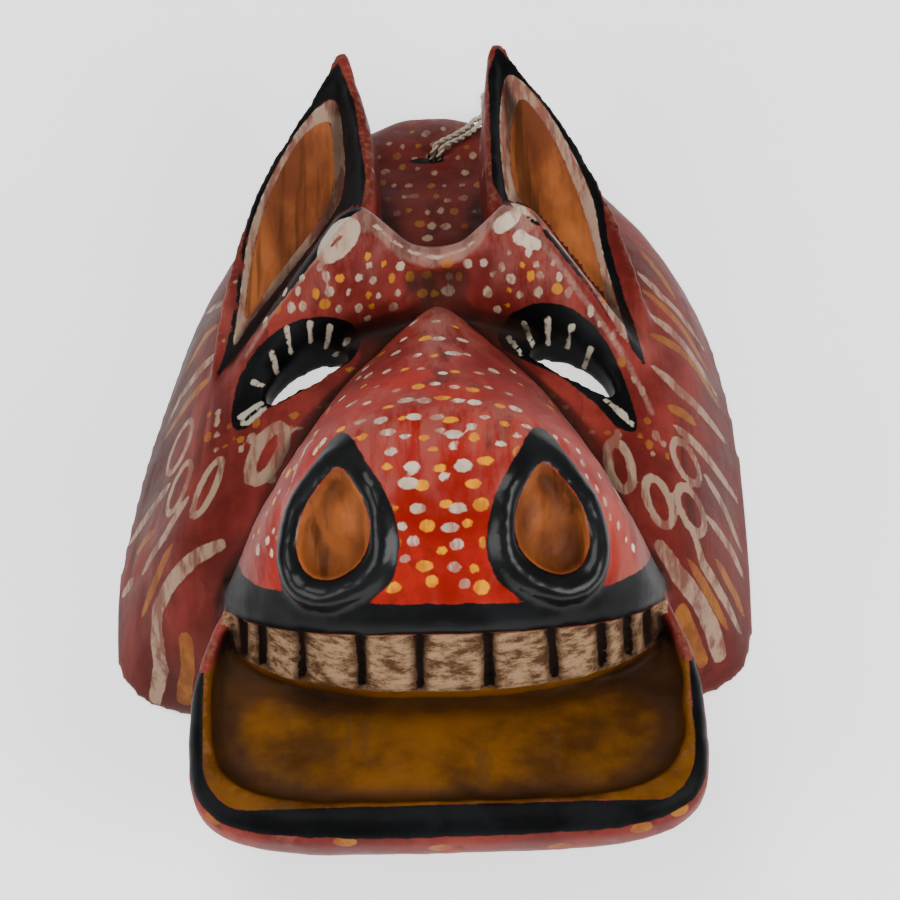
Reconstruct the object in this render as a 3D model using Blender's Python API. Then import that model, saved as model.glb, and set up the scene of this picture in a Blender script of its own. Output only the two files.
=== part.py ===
"""A carved wooden animal mask: pricked ears, a horned brow, a long muzzle with flared nostrils, a row of
upper teeth and a jutting lower jaw, with a loop of string to hang it by.
It lies on its hollow back with the face up. +Z is out of the face, +Y towards the ears, metres."""

import math

import bmesh
import bpy
import numpy as np
from mathutils import Matrix

# The mask's length from the crown's rim to the lower lip drives every carved form
MASK_LENGTH = 0.3093
CARVED_AT = 309.3
UNIT = MASK_LENGTH / CARVED_AT

WALL = 0.012
# Brings the middle of the mask's outline over the origin
PLACE = (3.95, 0.65, 0)
TOOTH_GAP = 0.0042
CORD_DIAMETER = 0.0022
CORD_HOLE_CLEARANCE = 0.0012
CORD_SKIN_GAP = 0.0004
KNOT_DIAMETER = 0.0088

PAINT_RED = (0.36, 0.035, 0.03, 1)
STRING_CREAM = (0.72, 0.64, 0.48, 1)


def clear_scene():
    for old in list(bpy.data.objects):
        bpy.data.objects.remove(old)


def new_collection(name):
    made = bpy.data.collections.new(name)
    bpy.context.scene.collection.children.link(made)
    return made


def plain_material(name, colour, roughness):
    made = bpy.data.materials.new(name)
    made.use_nodes = True
    shader = made.node_tree.nodes["Principled BSDF"]
    shader.inputs["Base Color"].default_value = colour
    shader.inputs["Roughness"].default_value = roughness
    shader.inputs["Metallic"].default_value = 0.0
    return made


def smooth_through(knots, rows, at):
    """Cubic curves through rows given at rising knots that never overshoot a row, read at the places in at."""
    knots = np.asarray(knots, float)
    rows = np.asarray(rows, float)
    at = np.asarray(at, float)
    steps = np.diff(rows, axis=0) / np.diff(knots).reshape((-1,) + (1,) * (rows.ndim - 1))
    before, after = steps[:-1], steps[1:]
    total = np.where(before * after > 0, before + after, 1)
    level = np.where(before * after > 0, 2 * before * after / total, 0)
    slopes = np.concatenate([steps[:1], level, steps[-1:]])
    first = np.clip(np.searchsorted(knots, at, side="right") - 1, 0, len(knots) - 2)
    span = knots[first + 1] - knots[first]
    share = (at - knots[first]) / span
    if rows.ndim > 1:
        share, span = share[:, None], span[:, None]
    a = 2 * share**3 - 3 * share**2 + 1
    b = share**3 - 2 * share**2 + share
    c = 3 * share**2 - 2 * share**3
    d = share**3 - share**2
    return a * rows[first] + b * span * slopes[first] + c * rows[first + 1] + d * span * slopes[first + 1]


def add_object(name, mesh, collection):
    made = bpy.data.objects.new(name, mesh)
    collection.objects.link(made)
    return made


def move_into(obj, collection):
    for holder in list(obj.users_collection):
        holder.objects.unlink(obj)
    collection.objects.link(obj)


def helper(obj):
    """Marks an object that shapes the mask and isn't itself a piece of it."""
    obj.hide_render = True
    obj.display_type = "WIRE"
    return obj


def close_solid(name, shell, collection):
    """Turns every face outwards and makes the object."""
    bmesh.ops.recalc_face_normals(shell, faces=shell.faces)
    if shell.calc_volume(signed=True) < 0:
        bmesh.ops.reverse_faces(shell, faces=shell.faces)
    mesh = bpy.data.meshes.new(name)
    shell.to_mesh(mesh)
    shell.free()
    return add_object(name, mesh, collection)


def loft(name, rings, collection):
    """A closed solid through rings of points, each ring closed on itself, with its first and last ring capped
    by a fan of triangles."""
    rings = np.asarray(rings, float)
    count, around = rings.shape[:2]
    shell = bmesh.new()
    points = [[shell.verts.new(p) for p in ring] for ring in rings]
    for i in range(count - 1):
        for j in range(around):
            k = (j + 1) % around
            shell.faces.new((points[i][j], points[i][k], points[i + 1][k], points[i + 1][j]))
    for ring, corners in ((rings[0], points[0]), (rings[-1], points[-1])):
        centre = shell.verts.new(ring.mean(axis=0))
        for j in range(around):
            shell.faces.new((corners[j], corners[(j + 1) % around], centre))
    return close_solid(name, shell, collection)


def thick_patch(name, grid, pivot, share, collection):
    """A closed solid between a patch and its copy drawn towards a pivot inside the head."""
    grid = np.asarray(grid, float)
    inner = pivot + share * (grid - pivot)
    rows, columns = grid.shape[:2]
    shell = bmesh.new()
    outside = [[shell.verts.new(p) for p in row] for row in grid]
    inside = [[shell.verts.new(p) for p in row] for row in inner]
    for i in range(rows - 1):
        for j in range(columns - 1):
            shell.faces.new((outside[i][j], outside[i][j + 1], outside[i + 1][j + 1], outside[i + 1][j]))
            shell.faces.new((inside[i][j], inside[i + 1][j], inside[i + 1][j + 1], inside[i][j + 1]))
    for i in range(rows - 1):
        for j in (0, columns - 1):
            shell.faces.new((outside[i][j], outside[i + 1][j], inside[i + 1][j], inside[i][j]))
    for j in range(columns - 1):
        for i in (0, rows - 1):
            shell.faces.new((outside[i][j], outside[i][j + 1], inside[i][j + 1], inside[i][j]))
    return close_solid(name, shell, collection)


# Head. Each station across Y has its drift to +X, its half width at the rim, points (x, z) up its side, and
# its middle height. The carver's cheeks lean a little to one side of the face
HEAD_STATIONS = (
    (-86, -4.5, 84, (83, 5), (78, 11), (68, 20), (50, 27), 32),
    (-80, -4.5, 102, (98, 5), (91, 12), (82, 24), (66, 38), 44),
    (-66, -4.5, 113, (106, 13), (96, 27), (84, 40), (66, 50), 54),
    (-42, -4.0, 114.5, (106, 18), (96, 36), (84, 50), (62, 59), 62),
    (-15, -2.0, 112.5, (102, 21), (90, 40), (74, 53), (50, 61), 66),
    (12, 0.0, 109, (98, 22), (86, 41), (70, 55), (44, 64), 68),
    (38, 2.0, 103.5, (94, 21), (84, 38), (69, 50), (42, 61), 66),
    (66, 3.0, 95.5, (88, 18), (78, 32), (64, 43), (38, 51), 54),
    (92, 3.0, 83, (77, 15), (67, 27), (53, 36), (30, 41), 42),
    (116, 2.0, 66, (60, 12), (52, 21), (40, 26), (22, 29), 30),
    (135, 0.5, 49, (44, 9), (37, 15), (29, 19), (15, 21), 22),
    (147, -1.0, 28, (25, 6), (21, 10), (16, 13), (8, 14), 15),
    (152.5, -2.0, 15, (13.5, 4), (11.5, 7), (9, 9), (5, 10), 10),
)
HEAD_RINGS = 30
HEAD_ARCH_POINTS = 33


def head_arch(station):
    """The points of one station's arch, from its right rim over the top to its left rim, as (x, z) rows."""
    rim, *side, middle = station[2:]
    half = [(rim, 0), *side]
    points = half + [(0, middle)] + [(-x, z) for x, z in reversed(half)]
    knots = np.arange(len(points))
    return smooth_through(knots, points, np.linspace(0, knots[-1], HEAD_ARCH_POINTS))


def head_grid(rings):
    """The head's outer surface, one row of points for each of the rings along Y."""
    stations = [s[0] for s in HEAD_STATIONS]
    arches = np.array([head_arch(s) for s in HEAD_STATIONS])
    along = np.linspace(0, 1, rings)
    knots = np.linspace(0, 1, len(stations))
    places = smooth_through(knots, stations, along)
    drift = smooth_through(knots, [s[1] for s in HEAD_STATIONS], along)
    flat = smooth_through(knots, arches.reshape(len(stations), -1), along)
    arches = flat.reshape(rings, HEAD_ARCH_POINTS, 2)
    y = np.repeat(places[:, None], HEAD_ARCH_POINTS, axis=1)
    return np.stack([arches[:, :, 0] + drift[:, None], y, np.maximum(arches[:, :, 1], 0.3)], axis=2) * UNIT


def make_head(collection):
    grid = head_grid(HEAD_RINGS)
    grid[:, 0, 2] = 0
    grid[:, -1, 2] = 0
    return loft("head", grid, collection)


# Muzzle. Each station runs across the face: its middle (y, z), half width, side foot (y, z) and squareness
MUZZLE_STATIONS = (
    ((35, 76), 3, (35, 66), 2.0),
    ((30, 87), 12, (30, 56), 1.7),
    ((20, 97), 26, (19, 50), 1.6),
    ((5, 108), 40, (3, 48), 1.8),
    ((-13, 122), 49, (-15, 46), 2.1),
    ((-30, 136), 56, (-32, 46), 2.4),
    ((-43, 143), 61, (-44, 46), 2.6),
    ((-60, 141.5), 66, (-50, 46), 2.9),
    ((-77, 134), 70, (-52, 46), 3.0),
    ((-90, 125.5), 73, (-53.5, 46), 2.9),
    ((-98, 118), 75, (-55, 46), 2.8),
    ((-101, 113), 75, (-56, 45.7), 2.7),
    ((-99.5, 110.2), 74.5, (-57, 45.3), 2.7),
    ((-104, 100), 75.5, (-59, 45), 2.5),
    ((-110, 88), 77, (-62, 45), 2.4),
    ((-110, 79), 76, (-63, 44), 2.4),
    ((-97, 61), 70, (-68, 38), 2.4),
)
MUZZLE_PIVOT = (0, -45, 36)
MUZZLE_CORE = 0.12
MUZZLE_COLUMNS = 33
TOOTH_JOINTS = (-64, -57, -45, -27, -8.5, 13.5, 34, 50, 59)


def muzzle_row(middle, half_width, foot, squareness):
    """Half a superellipse across the face, from the right foot over the middle to the left foot."""
    turn = np.linspace(-math.pi / 2, math.pi / 2, MUZZLE_COLUMNS)
    across = np.sign(-turn) * np.abs(np.sin(turn)) ** (2 / squareness)
    up = np.clip(np.cos(turn), 0, None) ** (2 / squareness)
    y = foot[0] + (middle[0] - foot[0]) * up
    z = foot[1] + (middle[1] - foot[1]) * up
    return np.stack([half_width * across, y, z], axis=1)


def make_muzzle(collection):
    rows = np.array([muzzle_row(*s) for s in MUZZLE_STATIONS])
    bridge = len(MUZZLE_STATIONS) - 6
    knots = np.arange(bridge)
    fine = np.linspace(0, bridge - 1, 2 * bridge - 1)
    upper = smooth_through(knots, rows[:bridge].reshape(bridge, -1), fine).reshape(-1, MUZZLE_COLUMNS, 3)
    grid = np.concatenate([upper, rows[bridge:]]) * UNIT
    return thick_patch("muzzle", grid, np.array(MUZZLE_PIVOT) * UNIT, MUZZLE_CORE, collection)


# Brow. Stations across X, each with its ridge (y, z), its front foot (y, z) and the swell between them
BROW_STATIONS = (
    (0, (54, 80), (36, 68), -2.0),
    (9, (55, 81.5), (35, 68), -1.0),
    (17, (59, 88), (33, 67), 2.5),
    (25, (63, 94.5), (31, 66), 4.5),
    (32, (61, 95), (28, 65), 5.5),
    (43, (51.5, 85), (25, 63), 5.0),
    (56, (40, 71), (20, 58), 3.5),
    (68, (29, 58), (13, 51), 2.0),
    (79, (19, 45), (6, 41), 1.0),
)
BROW_CORE_HEIGHT = 30
RIDGE_ROUND = 3.2


def brow_section(x, ridge, foot, swell):
    """One closed slice across X: up the front from the foot, over the rounded ridge and down behind it."""
    ridge, foot = np.array(ridge), np.array(foot)
    slope = ridge - foot
    out = np.array([-slope[1], slope[0]]) / np.linalg.norm(slope)
    front = [foot + slope * share + out * swell * math.sin(math.pi * share) for share in (0.25, 0.5, 0.75)]
    down = np.array([0, -1.0])
    behind = ridge + (2 * RIDGE_ROUND, 0)
    outline = [
        (foot[0], BROW_CORE_HEIGHT - 8),
        foot + 3 * down,
        *front,
        ridge + (-RIDGE_ROUND, -0.9),
        ridge + (-0.2 * RIDGE_ROUND, 0.5),
        ridge + (RIDGE_ROUND, -1.2),
        behind + (-0.4, -5.5),
        behind + (3.5, -15),
        (behind[0] + 5, BROW_CORE_HEIGHT - 8),
    ]
    return np.array([(x, y, z) for y, z in outline])


def make_brow(collection):
    half = np.array([brow_section(*s) for s in BROW_STATIONS])
    mirrored = half[:0:-1] * (-1, 1, 1)
    stations = np.concatenate([mirrored, half])
    fine = smooth_through(
        stations[:, 0, 0], stations.reshape(len(stations), -1), np.linspace(-79, 79, 33)
    )
    return loft("brow", fine.reshape(33, -1, 3) * UNIT, collection)


# Ears. Stations along Y: inner edge (x, z), outer edge (x, z), the hollow's depth and the ear's thickness
LEFT_EAR = (
    (10, (66, 40), (83, 39), 1.0, 20),
    (28, (47, 56), (82, 45), 3.0, 26),
    (50, (27, 70), (79, 48), 6.0, 32),
    (75, (22, 72), (73, 50), 7.5, 34),
    (100, (22.5, 69), (64.5, 52), 7.5, 34),
    (122, (25, 66), (52, 55), 5.0, 24),
    (138, (29, 63), (42.5, 57), 2.0, 15),
    (148, (30.8, 61.2), (37.5, 58.5), 0.5, 9),
    (152, (31.5, 60), (36, 58.6), 0.2, 6),
)
RIGHT_EAR = (
    (6, (66, 38), (81, 37), 1.0, 20),
    (28, (47, 56), (78.5, 45), 3.0, 26),
    (50, (26, 71), (75, 49), 6.0, 32),
    (75, (19.5, 73), (68.5, 51), 7.5, 34),
    (100, (19, 70), (58.5, 53.5), 7.5, 34),
    (122, (19.5, 67), (47, 57), 5.5, 25),
    (140, (20.5, 64), (34.5, 58.5), 2.5, 16),
    (150, (21.6, 61.6), (28, 59.4), 0.5, 9),
    (154, (22.5, 60.3), (26.5, 59.1), 0.2, 6),
)
EAR_RINGS = 22
EAR_FOLD = 0.36
EAR_RIM = 4.0


def ear_section(y, inner, outer, hollow, thick):
    """One closed slice across Y of an ear at +X: a rim on each side of a folded hollow, and its thick back."""
    inner, outer = np.array(inner, float), np.array(outer, float)
    across = outer - inner
    width = np.linalg.norm(across)
    along = across / width
    up = np.array([-along[1], along[0]])
    rim = min(EAR_RIM, 0.3 * width)
    fold = inner + along * (rim + EAR_FOLD * (width - 2 * rim)) - up * hollow
    inner_rim, outer_rim = inner + along * rim, outer - along * rim
    edge = min(1.6, 0.2 * width)
    outline = [
        inner - up * edge,
        inner + along * 0.35 * rim + up * 0.3,
        inner_rim,
        inner_rim + 0.5 * (fold - inner_rim) - up * 0.12 * hollow,
        fold,
        fold + 0.36 * (outer_rim - fold) - up * 0.14 * hollow,
        fold + 0.7 * (outer_rim - fold) - up * 0.1 * hollow,
        outer_rim,
        outer - along * 0.35 * rim + up * 0.3,
        outer - up * edge,
        outer - up * 0.55 * thick - along * 0.08 * width,
        inner + along * 0.62 * width + (0, -thick),
        inner + along * 0.22 * width + (-1.0, -thick),
        inner + (-min(3.0, 0.08 * width), -0.6 * thick),
    ]
    return np.array([(x, y, z) for x, z in outline])


def make_ear(name, stations, side, collection):
    slices = np.array([ear_section(*s) for s in stations])
    places = np.array([s[0] for s in stations])
    fine = smooth_through(places, slices.reshape(len(stations), -1), np.linspace(places[0], places[-1], EAR_RINGS))
    rings = fine.reshape(EAR_RINGS, -1, 3) * (side, 1, 1)
    return loft(name, rings * UNIT, collection)


# Lower jaw, as layers up Z: height, half width and the front edge's y
JAW_LAYERS = (
    (0, 64, -98),
    (8, 68, -109),
    (22, 74, -128),
    (38, 80, -147),
    (50, 83.5, -153.2),
    (59, 85, -155.3),
    (68, 85, -155.3),
    (72.5, 84, -153.5),
    (75, 81.5, -150),
)
JAW_SHOULDER = 38
JAW_BACK = -30
JAW_SQUARENESS = 4.2
JAW_POINTS = 44
TRAY_HALF_WIDTH = 79
TRAY_FRONT = -144.5
TRAY_FLOOR_BACK = 60
TRAY_FLOOR_FRONT = 70
TRAY_DEPTH_REACH = 30


def jaw_ring(half_width, front, height, back=JAW_BACK):
    """A closed outline in plan: square shouldered at the lip, round towards the throat. height may vary with y."""
    turn = np.linspace(0, 2 * math.pi, JAW_POINTS, endpoint=False)
    middle = front + JAW_SHOULDER
    ahead = np.sin(turn) > 0
    power = np.where(ahead, 2 / JAW_SQUARENESS, 1.0)
    x = half_width * np.sign(np.cos(turn)) * np.abs(np.cos(turn)) ** power
    reach = np.where(ahead, JAW_SHOULDER, back - middle)
    y = middle - reach * np.sign(np.sin(turn)) * np.abs(np.sin(turn)) ** power
    return np.stack([x, y, height(y)], axis=1)


def tray_floor(y):
    share = np.clip((JAW_BACK - y) / (JAW_BACK - TRAY_FRONT), 0, 1)
    return TRAY_FLOOR_BACK + (TRAY_FLOOR_FRONT - TRAY_FLOOR_BACK) * share


def make_jaw(forms, cutters):
    layers = [jaw_ring(w, front, lambda y, z=z: np.full_like(y, z)) for z, w, front in JAW_LAYERS]
    jaw = loft("lower_jaw", np.array(layers) * UNIT, forms)
    floor = jaw_ring(TRAY_HALF_WIDTH - 2, TRAY_FRONT + 2, tray_floor, JAW_BACK - 8)
    brim = jaw_ring(
        TRAY_HALF_WIDTH + 1.5, TRAY_FRONT - 1.5, lambda y: tray_floor(y) + TRAY_DEPTH_REACH, JAW_BACK - 6
    )
    tray = helper(loft("mouth_tray", np.array([floor, brim]) * UNIT, cutters))
    cut = jaw.modifiers.new("tray", "BOOLEAN")
    cut.operation = "DIFFERENCE"
    cut.object = tray
    return jaw


# Nostrils. A raised drop-shaped lip lies on the muzzle's front round a sunk hollow
NOSTRIL_LOOP = (
    (-46.5, 32), (-55, 42), (-65, 47.5), (-76, 49.3), (-85.5, 46),
    (-90, 37), (-87.5, 26), (-79, 19), (-67, 19.5), (-55, 25),
)
NOSTRIL_LIP_RADIUS = 4.6
NOSTRIL_TOP_LIFT = 0.6
NOSTRIL_PIT_DEPTH = 7
NOSTRIL_PIT = (
    (-53, 32.5), (-58.5, 39), (-66, 44), (-75.5, 45.5), (-82.5, 42),
    (-85, 35.5), (-82.5, 28), (-77, 23.8), (-69, 23.8), (-60.5, 27.5),
)
NOSTRIL_PIT_REACH = 40


def muzzle_height(y, x):
    """The height of the muzzle's front over a point of the plan, read off its stations."""
    rows = sorted(MUZZLE_STATIONS[:11], key=lambda s: s[0][0])
    middles = [s[0][0] for s in rows]
    heights = []
    for middle, half_width, foot, squareness in rows:
        share = min(abs(x) / half_width, 0.98)
        up = (1 - share**squareness) ** (1 / squareness)
        heights.append(foot[1] + (middle[1] - foot[1]) * up)
    return float(np.interp(y, middles, heights))


def closed_outline(points, count):
    """count places round a smooth closed curve through points given as (y, x) pairs."""
    points = np.array(points, float)
    wrapped = np.concatenate([points[-2:], points, points[:3]])
    knots = np.arange(len(wrapped)) - 2
    return smooth_through(knots, wrapped, np.linspace(0, len(points), count, endpoint=False))


def make_nostril(name, side, forms, cutters):
    loop = closed_outline(NOSTRIL_LOOP, 30)
    curve = bpy.data.curves.new(name + "_lip", "CURVE")
    curve.dimensions = "3D"
    curve.bevel_depth = NOSTRIL_LIP_RADIUS * UNIT
    curve.bevel_resolution = 2
    spline = curve.splines.new("POLY")
    spline.points.add(len(loop) - 1)
    for point, (y, x) in zip(spline.points, loop):
        top = (y - NOSTRIL_LOOP[5][0]) / (NOSTRIL_LOOP[0][0] - NOSTRIL_LOOP[5][0])
        height = muzzle_height(y, x) - 0.9 - 0.8 * top
        point.co = (side * x * UNIT, y * UNIT, height * UNIT, 1)
        point.radius = 1.0 - (1 - NOSTRIL_TOP_LIFT) * top
    spline.use_cyclic_u = True
    guide = add_object(name + "_guide", curve, forms)
    evaluated = guide.evaluated_get(bpy.context.evaluated_depsgraph_get())
    mesh = bpy.data.meshes.new_from_object(evaluated)
    bpy.data.objects.remove(guide)
    lip = add_object(name + "_lip", mesh, forms)
    pit = closed_outline(NOSTRIL_PIT, 26)
    heights = np.array([muzzle_height(y, x) for y, x in pit])
    middle = pit.mean(axis=0)
    rings = []
    for spread, depth in ((0.45, 1.0), (0.82, 0.86), (0.97, 0.4), (1.12, -0.35)):
        around = middle + (pit - middle) * spread
        rings.append(np.stack([side * around[:, 1], around[:, 0], heights - NOSTRIL_PIT_DEPTH * depth], axis=1))
    top = middle + (pit - middle) * 1.3
    rings.append(np.stack([side * top[:, 1], top[:, 0], heights + NOSTRIL_PIT_REACH], axis=1))
    helper(loft(name + "_pit", np.array(rings) * UNIT, cutters))
    return lip


# Teeth. A V-shaped cut parts each tooth from the next across the row
def make_tooth_joints(cutters):
    top = MUZZLE_STATIONS[12]
    bottom = MUZZLE_STATIONS[14]
    for number, x in enumerate(TOOTH_JOINTS):
        ends = []
        for (y, z), half_width, foot, squareness in (top, bottom):
            share = abs(x * half_width / bottom[1]) / half_width
            up = (1 - share**squareness) ** (1 / squareness)
            ends.append(np.array([x * half_width / bottom[1], foot[0] + (y - foot[0]) * up, foot[1] + (z - foot[1]) * up]))
        high, low = ends
        long = low - high
        long /= np.linalg.norm(long)
        outward = np.array([0.35 * x / 77, -0.75, 0.55])
        outward -= long * (outward @ long)
        outward /= np.linalg.norm(outward)
        across = np.cross(long, outward)
        gap = TOOTH_GAP / UNIT
        rings = []
        for end in (high - long * 1.0, low + long * 3.0):
            rings.append([end - outward * 0.85 * gap, end + outward * gap + across * 0.95 * gap, end + outward * gap - across * 0.95 * gap])
        helper(loft(f"tooth_joint_{number}", np.array(rings) * UNIT, cutters))


# The hollow that a wearer's face goes into, and the carver's deeper scoop behind the muzzle
HOLLOW_RINGS = 22
HOLLOW_ENDS = (-72, 139)
RIM_DROP = 6
SCOOP_MIDDLE = (0, -40, 24)
SCOOP_HALF = (42, 42, 88)


def make_hollow(cutters):
    grid = head_grid(121)
    half = grid[:, :, 0].max(axis=1)
    y = grid[:, 0, 1]
    flare = np.gradient(half, y)
    inner_half = half - WALL * np.sqrt(1 + flare**2)
    places = np.linspace(HOLLOW_ENDS[0] * UNIT, HOLLOW_ENDS[1] * UNIT, HOLLOW_RINGS)
    rings = []
    for place in places:
        arch = np.stack([np.interp(place, y, grid[:, j, k]) for j in range(grid.shape[1]) for k in (0, 2)])
        arch = arch.reshape(-1, 2)
        outer = np.interp(place, y, half)
        narrow = max(np.interp(place, y, inner_half), 0.25 * outer) / outer
        middle = arch[:, 1].max()
        low = max(middle - 1.12 * WALL, 0.12 * middle) / middle
        inside = arch * (narrow, low)
        inside = np.concatenate([[(inside[0, 0], -RIM_DROP * UNIT)], inside, [(inside[-1, 0], -RIM_DROP * UNIT)]])
        rings.append(np.stack([inside[:, 0], np.full(len(inside), place), inside[:, 1]], axis=1))
    helper(loft("face_hollow", rings, cutters))
    bpy.ops.mesh.primitive_uv_sphere_add(segments=24, ring_count=14, radius=1)
    scoop = bpy.context.object
    scoop.name = "muzzle_scoop"
    scoop.data.transform(scoop.matrix_world)
    for vertex in scoop.data.vertices:
        vertex.co = [(m + h * c) * UNIT for m, h, c in zip(SCOOP_MIDDLE, SCOOP_HALF, vertex.co)]
    move_into(scoop, cutters)
    helper(scoop)


# Eye slits, half moons cut straight through, arched above and sloping down outwards
EYE_MIDDLE = (45, 18)
EYE_HALF_LENGTH = 17
EYE_ARCH = 11
EYE_SLOPE = 26
EYE_LEAN = 10
EYE_LOW, EYE_HIGH = 20, 105


def make_eye(name, side, cutters):
    turn = np.linspace(0, math.pi, 15)
    arch = [(EYE_HALF_LENGTH * math.cos(t), EYE_ARCH * math.sin(t)) for t in turn]
    base = [(-EYE_HALF_LENGTH * share, -1.6 * math.cos(share * math.pi / 2)) for share in (0.6, 0.2, -0.2, -0.6)]
    slope = math.radians(-EYE_SLOPE)
    outline = []
    for along, up in arch + base:
        x = EYE_MIDDLE[0] + along * math.cos(slope) - up * math.sin(slope)
        y = EYE_MIDDLE[1] - 3 + along * math.sin(slope) + up * math.cos(slope)
        outline.append((x, y))
    lean = math.tan(math.radians(EYE_LEAN))
    rings = []
    for z in (EYE_LOW, EYE_HIGH):
        rings.append([(side * x, y + lean * (z - 62), z) for x, y in outline])
    helper(loft(name, np.array(rings) * UNIT, cutters))


# The hanging string: doubled, out of one hole in the crown, over the crown's edge behind the right ear to a
# loop that lies on the table, and back. The route's points are the wood and table under it
CORD_HOLE = (0.2, 126.2)
CORD_HOLE_TOP = 60
CORD_FOOT = 11.7
CORD_RISE = ((0.2, 126.2, 16.0), (0.2, 126.2, 21.5), (0.6, 126.6, 26.4), (2.2, 128.4, 28.8), (4.4, 130.8, 27.4))
CORD_ROUTE = (
    (6.8, 133.2, 23.8), (9.8, 136.2, 21.6), (12.9, 139.9, 18.9), (15.2, 143.6, 16.3), (16.7, 147.2, 13.2),
    (17.9, 150.4, 8.8), (18.9, 153.0, 5.2), (19.8, 155.6, 2.2), (20.6, 158.4, 0.3), (21.4, 161.6, -0.25),
    (22.2, 165.0, -0.25),
)
CORD_ACROSS = (0.86, -0.51)
CORD_END_SPREAD = 3.2
CORD_END_POINTS = 7
CORD_STEP = 0.0045
KNOT_MIDDLE = (0.2, 125.8, 7.0)


def make_cord_hole(cutters):
    bpy.ops.mesh.primitive_cylinder_add(vertices=16, radius=1, depth=1)
    hole = bpy.context.object
    hole.name = "cord_hole"
    half_long = CORD_DIAMETER + CORD_HOLE_CLEARANCE
    half_wide = 0.5 * CORD_DIAMETER + CORD_HOLE_CLEARANCE
    for vertex in hole.data.vertices:
        x, y, z = vertex.co
        vertex.co = (
            CORD_HOLE[0] * UNIT + x * half_long,
            CORD_HOLE[1] * UNIT + y * half_wide,
            (z + 0.5) * CORD_HOLE_TOP * UNIT,
        )
    move_into(hole, cutters)
    helper(hole)


def cord_path():
    """The string's middle from its end at the knot, out to the loop and back, as evenly spaced points in metres."""
    lift = 0.5 * CORD_DIAMETER + CORD_SKIN_GAP
    across = np.array([*CORD_ACROSS, 0])
    ahead = np.array([-across[1], across[0], 0])
    side = 0.5 * CORD_DIAMETER + 0.6 * CORD_SKIN_GAP
    foot = np.array([[*CORD_RISE[0][:2], CORD_FOOT]]) * UNIT
    rise = np.array(CORD_RISE) * UNIT
    on_wood = np.array(CORD_ROUTE) * UNIT + (0, 0, lift)
    middle = np.concatenate([foot, rise, on_wood])
    spread = np.full(len(middle), side)
    spread[-2:] = (0.5 * (side + CORD_END_SPREAD * UNIT), CORD_END_SPREAD * UNIT)
    out = middle + across * spread[:, None]
    back = middle - across * spread[:, None]
    turn = np.linspace(0, math.pi, CORD_END_POINTS + 2)[1:-1, None]
    end = middle[-1] + CORD_END_SPREAD * UNIT * (across * np.cos(turn) + ahead * np.sin(turn))
    points = np.concatenate([out, end, back[::-1]])
    knots = np.arange(len(points))
    fine = smooth_through(knots, points, np.linspace(0, knots[-1], 600))
    run = np.concatenate([[0], np.cumsum(np.linalg.norm(np.diff(fine, axis=0), axis=1))])
    count = int(run[-1] / CORD_STEP)
    return np.stack([np.interp(np.linspace(0, run[-1], count), run, fine[:, k]) for k in range(3)], axis=1)


def make_cord(collection):
    curve = bpy.data.curves.new("hanging_cord", "CURVE")
    curve.dimensions = "3D"
    curve.bevel_depth = 0.5 * CORD_DIAMETER
    curve.bevel_resolution = 2
    curve.use_fill_caps = True
    path = cord_path()
    spline = curve.splines.new("POLY")
    spline.points.add(len(path) - 1)
    for point, place in zip(spline.points, path):
        point.co = (*place, 1)
    curve.materials.append(plain_material("cotton_string", STRING_CREAM, 0.85))
    return add_object("hanging_cord", curve, collection)


def make_knot(collection):
    bpy.ops.mesh.primitive_uv_sphere_add(segments=16, ring_count=10, radius=0.5 * KNOT_DIAMETER)
    knot = bpy.context.object
    knot.name = "cord_knot"
    for vertex in knot.data.vertices:
        vertex.co = [m * UNIT + c for m, c in zip(KNOT_MIDDLE, vertex.co)]
    move_into(knot, collection)
    knot.data.materials.append(plain_material("knotted_string", STRING_CREAM, 0.85))
    return knot


def build():
    clear_scene()
    mask_parts = new_collection("animal_mask")
    forms = new_collection("carved_forms")
    cutters = new_collection("cutters")
    carved = make_head(mask_parts)
    carved.name = "carved_mask"
    helper(make_muzzle(forms))
    helper(make_brow(forms))
    helper(make_ear("left_ear", LEFT_EAR, -1, forms))
    helper(make_ear("right_ear", RIGHT_EAR, 1, forms))
    helper(make_jaw(forms, bpy.data.collections.new("tray_cutter")))
    for name, side in (("left_nostril", -1), ("right_nostril", 1)):
        helper(make_nostril(name, side, forms, cutters))
    make_tooth_joints(cutters)
    make_hollow(cutters)
    make_eye("left_eye", -1, cutters)
    make_eye("right_eye", 1, cutters)
    make_cord_hole(cutters)
    for label, operation, operands in (("add_forms", "UNION", forms), ("cut", "DIFFERENCE", cutters)):
        modifier = carved.modifiers.new(label, "BOOLEAN")
        modifier.operation = operation
        modifier.operand_type = "COLLECTION"
        modifier.collection = operands
        modifier.solver = "EXACT"
    carved.data.materials.append(plain_material("painted_wood", PAINT_RED, 0.45))
    make_cord(mask_parts)
    make_knot(mask_parts)
    shift = Matrix.Translation([c * UNIT for c in PLACE])
    for obj in bpy.data.objects:
        obj.data.transform(shift)


build()
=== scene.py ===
import math

import bpy
import numpy as np
from mathutils import Matrix, Vector
from mathutils.bvhtree import BVHTree


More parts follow.
